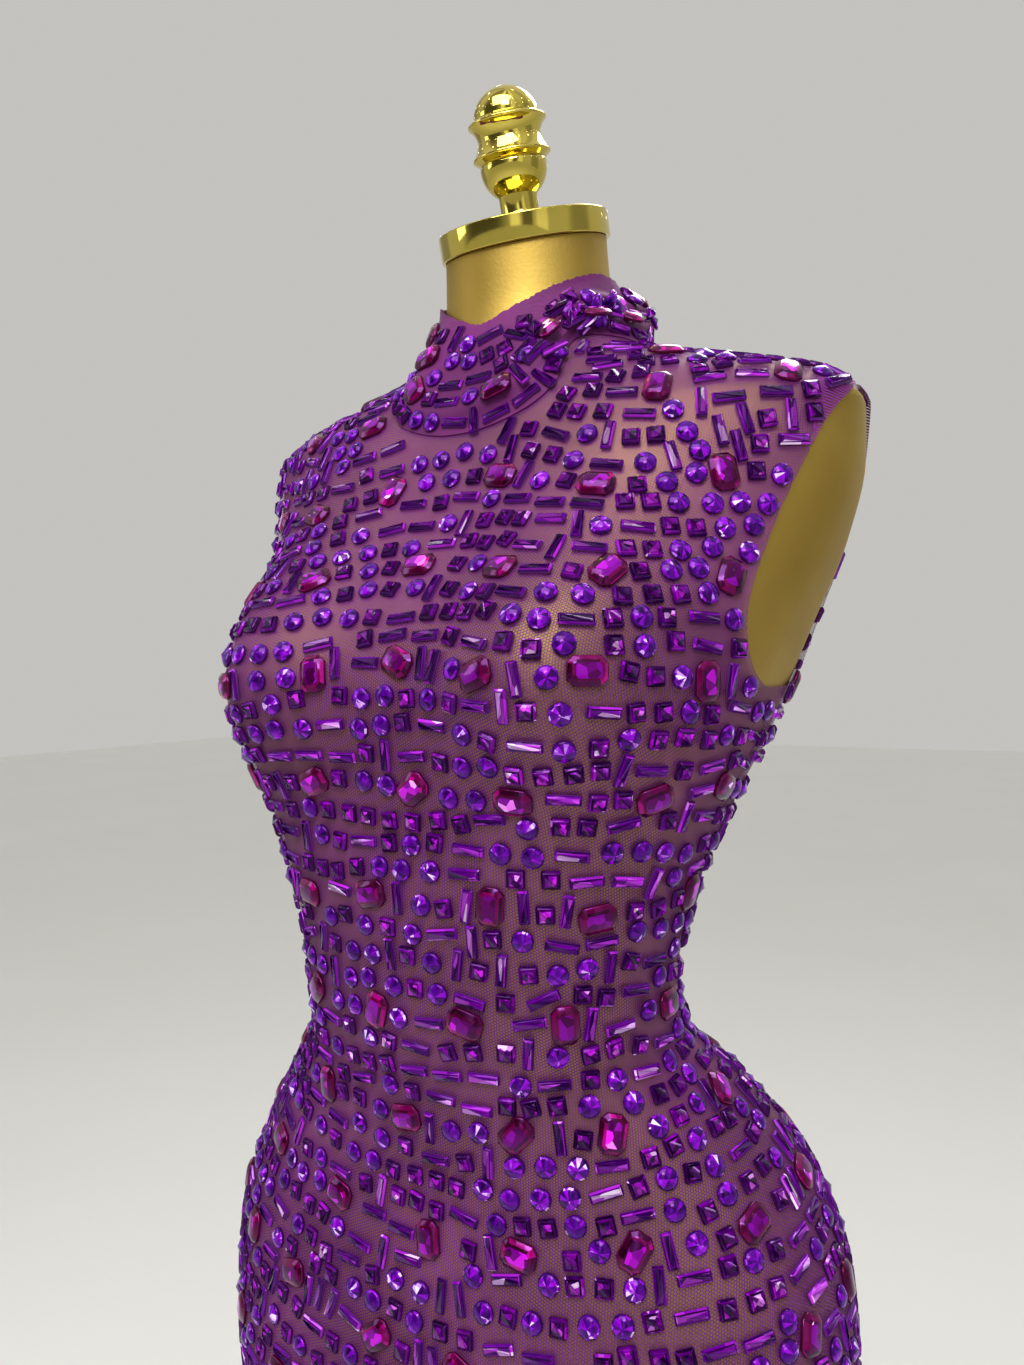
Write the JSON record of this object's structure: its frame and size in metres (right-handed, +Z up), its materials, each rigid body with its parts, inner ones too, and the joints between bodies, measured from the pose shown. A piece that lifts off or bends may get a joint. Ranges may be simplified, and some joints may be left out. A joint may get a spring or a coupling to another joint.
{
  "type": "maxi dress on a dress form",
  "caption": "Sleeveless high-neck maxi dress of gem-covered stretch net with a centre back zip, worn by a limbless gold dress form on a pole and round base.",
  "frame": {"origin": "centre of the base's underside, on the floor", "axes": "+Z up along the pole, -Y the way the dress faces, +X towards the dress's own left side"},
  "size_m": [0.4216, 0.4, 1.5963],
  "materials": {
    "net": "sheer stretch net with glued faceted stones",
    "doubled_net": "two layers of stretch net with glued faceted stones",
    "zip_coil": "closed nylon coil",
    "zip_metal": "dark lacquered zip metal",
    "satin_gold": "satin gold lacquer",
    "polished_gold": "polished gold plate"
  },
  "bodies": {
    "dress_and_form": {"dress_front": "net", "dress_back_left": "net", "dress_back_right": "net", "collar": "doubled_net", "zip_coil": "zip_coil", "zip_slider": "zip_metal", "form_torso": "satin_gold", "form_cap": "polished_gold", "form_finial": "polished_gold", "form_socket": "polished_gold", "form_pole": "polished_gold", "form_base": "polished_gold"},
    "zip_pull": {"zip_pull_tab": "zip_metal"}
  },
  "joints": [
    {"name": "zip_pull_swing", "type": "hinge", "parent": "dress_and_form", "child": "zip_pull", "pos_m": [0, 0.10462, 1.4745], "axis": [1, 0, 0], "range_deg": [0, 150]}
  ]
}
